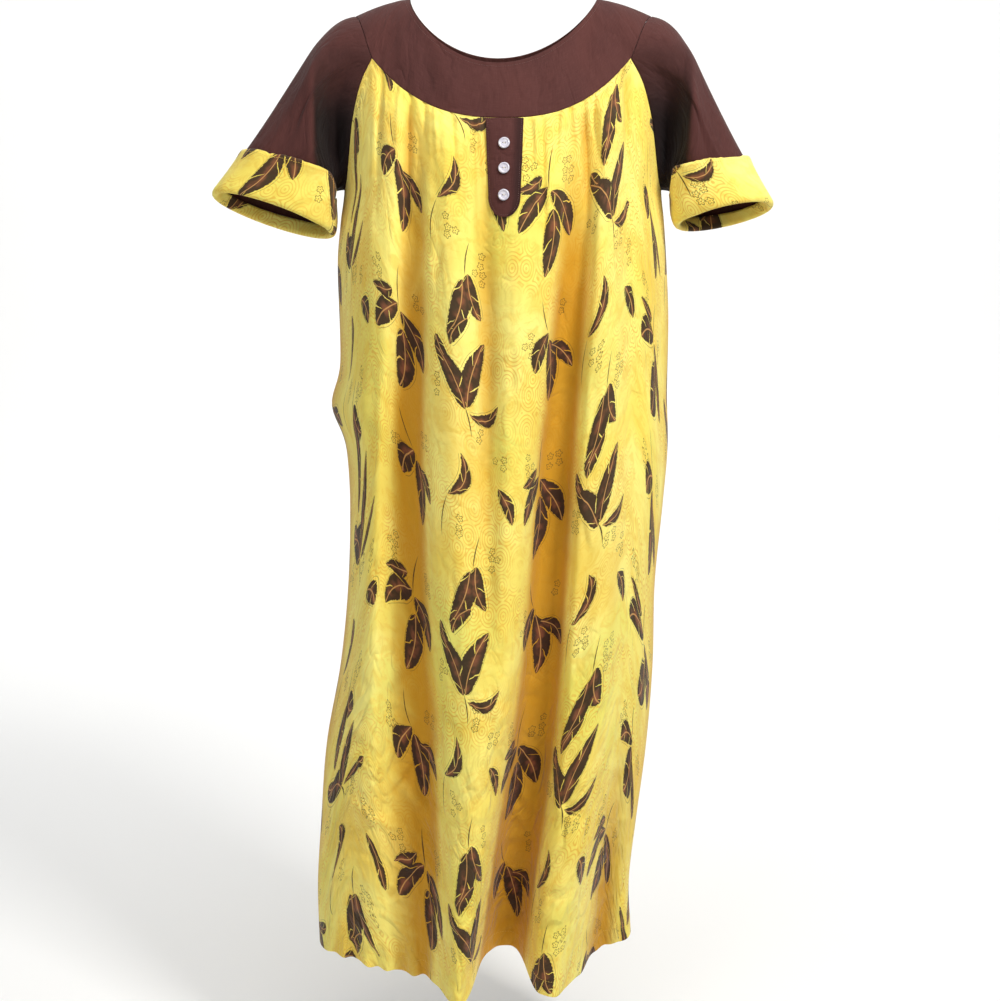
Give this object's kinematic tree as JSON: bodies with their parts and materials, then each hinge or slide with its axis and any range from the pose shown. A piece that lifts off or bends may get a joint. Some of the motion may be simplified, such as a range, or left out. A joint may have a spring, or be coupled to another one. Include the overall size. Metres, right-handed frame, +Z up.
{
  "type": "muumuu dress",
  "caption": "Full-length loose muumuu dress in its worn form, gathered below a scoop-neck yoke, with short raglan sleeves, turned-up cuffs and a buttoned placket tab.",
  "frame": {"origin": "midway between the two side-neck points, where the shoulders carry the dress", "axes": "+X to the right as seen from the front, the front faces -Y, +Z up"},
  "size_m": [0.7119, 0.3796, 1.2702],
  "materials": {
    "yellow_print": "printed woven cotton, matte",
    "brown_cotton": "plain woven cotton, matte",
    "pearl": "pearly polished"
  },
  "bodies": {
    "root": {"front_panel": "yellow_print", "back_panel": "yellow_print", "front_yoke": "brown_cotton", "back_yoke": "brown_cotton", "sleeve_left": "brown_cotton", "sleeve_right": "brown_cotton", "cuff_left": "yellow_print", "cuff_right": "yellow_print", "placket": "brown_cotton", "button_top": "pearl", "button_middle": "pearl", "button_bottom": "pearl"}
  },
  "joints": []
}
